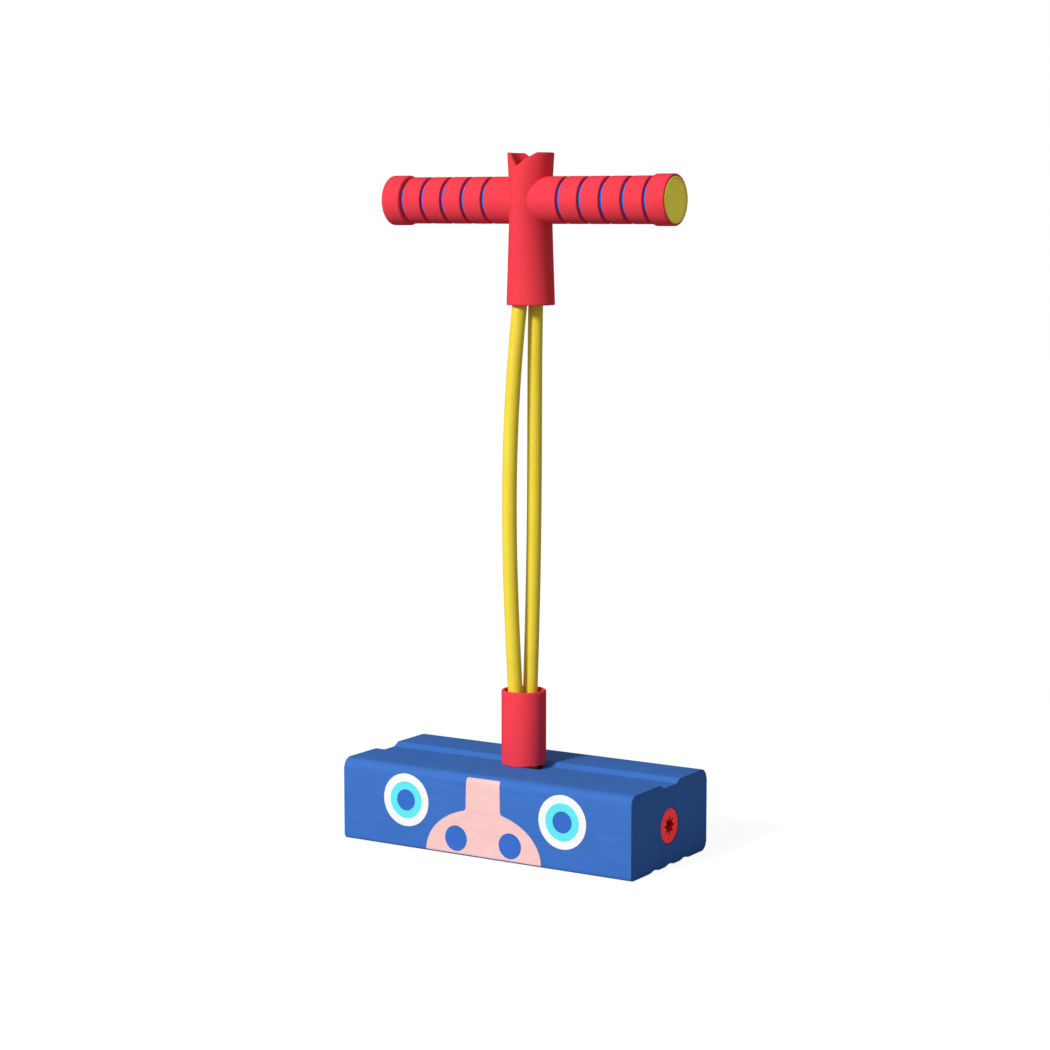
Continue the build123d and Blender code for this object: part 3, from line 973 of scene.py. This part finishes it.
def dress_cad():
    """Materials for the pieces shown as the part made them, with their hard edges eased."""
    finishes = {
        "underside_plug": BLUE_FOAM,
        "anchor_tube": TUBE_WHITE,
        "core_tube": TUBE_WHITE,
        "lower_cord_tie": TIE_BAND,
        "upper_cord_tie": TIE_BAND,
    }
    for side_name, _ in SIDES:
        finishes[f"{side_name}_squeaker_plug"] = PLUG_RED
        finishes[f"{side_name}_squeaker_bulb"] = BULB_RUBBER
        finishes[f"{side_name}_squeaker_reed"] = REED_DARK
    for node, material in finishes.items():
        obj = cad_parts[node]
        for slot in obj.material_slots:
            slot.material = material
        weld = obj.modifiers.new("weld", "WELD")
        weld.merge_threshold = WELD_DISTANCE
        bevel = obj.modifiers.new("ease", "BEVEL")
        bevel.width = CAD_EDGE
        bevel.segments = 2
        bevel.limit_method = "ANGLE"
        bevel.angle_limit = math.radians(CRISP_ANGLE)
        bevel.harden_normals = True


# ---- studio -----------------------------------------------------------------------------------

VIEW_AZIMUTH = 31.8
VIEW_ELEVATION = 6.96
VIEW_DISTANCE = 1.914
VIEW_HEIGHT = 0.2415
LENS = 88.3
SENSOR = 36.0
VIEW_SHIFT = (0.0011, 0.0006)
KEY_AZIMUTH = -11.0
KEY_ELEVATION = 28.0
KEY_STRENGTH = 2.75
KEY_SOFTNESS = 11.0
SKY_STRENGTH = 0.28
FLOOR_BOUNCE = 0.35
FLOOR_PALE = 0.9
FLOOR_GLOW = 1.12
FLOOR_GLOW_SHARE = 0.82
FLOOR_HALF = 6.0


def from_angles(azimuth, elevation):
    """Unit vector towards a viewer or a light; azimuth 0 is in front, on the -Y side."""
    turn, rise = math.radians(azimuth), math.radians(elevation)
    return Vector((
        math.sin(turn) * math.cos(rise), -math.cos(turn) * math.cos(rise), math.sin(rise)
    ))


def camera():
    """Three-quarter front view, a little above the deck."""
    data = bpy.data.cameras.new("camera")
    data.lens = LENS
    data.sensor_width = SENSOR
    data.shift_x, data.shift_y = VIEW_SHIFT
    obj = bpy.data.objects.new("camera", data)
    towards = from_angles(VIEW_AZIMUTH, VIEW_ELEVATION)
    obj.location = Vector((0, 0, VIEW_HEIGHT)) + towards * VIEW_DISTANCE
    obj.rotation_euler = (-towards).to_track_quat("-Z", "Y").to_euler()
    bpy.context.scene.collection.objects.link(obj)
    bpy.context.scene.camera = obj


def key_light():
    """One broad soft light from the front left."""
    data = bpy.data.lights.new("key", "SUN")
    data.energy = KEY_STRENGTH
    data.angle = math.radians(KEY_SOFTNESS)
    obj = bpy.data.objects.new("key", data)
    towards = from_angles(KEY_AZIMUTH, KEY_ELEVATION)
    obj.rotation_euler = towards.to_track_quat("Z", "Y").to_euler()
    bpy.context.scene.collection.objects.link(obj)


def sky():
    """Even white surround: bright to the camera, gentle as a light."""
    world = bpy.data.worlds.new("surround")
    bpy.context.scene.world = world
    world.use_nodes = True
    tree = world.node_tree
    background = tree.nodes["Background"]
    background.inputs["Color"].default_value = (1, 1, 1, 1)
    path = tree.nodes.new("ShaderNodeLightPath")
    level = tree.nodes.new("ShaderNodeMapRange")
    level.inputs["To Min"].default_value = SKY_STRENGTH
    level.inputs["To Max"].default_value = 1.0
    tree.links.new(path.outputs["Is Camera Ray"], level.inputs["Value"])
    tree.links.new(level.outputs["Result"], background.inputs["Strength"])


def floor():
    """Pale floor that reads near white and takes a faint shadow."""
    bm = bmesh.new()
    bmesh.ops.create_grid(bm, x_segments=2, y_segments=2, size=FLOOR_HALF)
    obj = new_object("floor", bm)
    material = bpy.data.materials.new("pale_floor")
    material.use_nodes = True
    tree = material.node_tree
    tree.nodes.remove(tree.nodes["Principled BSDF"])
    output = tree.nodes["Material Output"]
    bounce = tree.nodes.new("ShaderNodeBsdfDiffuse")
    bounce.inputs["Color"].default_value = (FLOOR_BOUNCE, FLOOR_BOUNCE, FLOOR_BOUNCE, 1)
    pale = tree.nodes.new("ShaderNodeBsdfDiffuse")
    pale.inputs["Color"].default_value = (FLOOR_PALE, FLOOR_PALE, FLOOR_PALE, 1)
    glow = tree.nodes.new("ShaderNodeEmission")
    glow.inputs["Strength"].default_value = FLOOR_GLOW
    seen = tree.nodes.new("ShaderNodeMixShader")
    seen.inputs["Fac"].default_value = FLOOR_GLOW_SHARE
    choose = tree.nodes.new("ShaderNodeMixShader")
    path = tree.nodes.new("ShaderNodeLightPath")
    tree.links.new(pale.outputs[0], seen.inputs[1])
    tree.links.new(glow.outputs[0], seen.inputs[2])
    tree.links.new(path.outputs["Is Camera Ray"], choose.inputs["Fac"])
    tree.links.new(bounce.outputs[0], choose.inputs[1])
    tree.links.new(seen.outputs[0], choose.inputs[2])
    tree.links.new(choose.outputs[0], output.inputs["Surface"])
    obj.data.materials.append(material)


# ---- build it ---------------------------------------------------------------------------------

foam_block()
cord_collar()
printed_face()
cord()
handle_sleeve()
for name, direction in SIDES:
    grip_side(name, direction)
dress_cad()
camera()
key_light()
sky()
floor()
bpy.context.scene.view_settings.view_transform = "Standard"
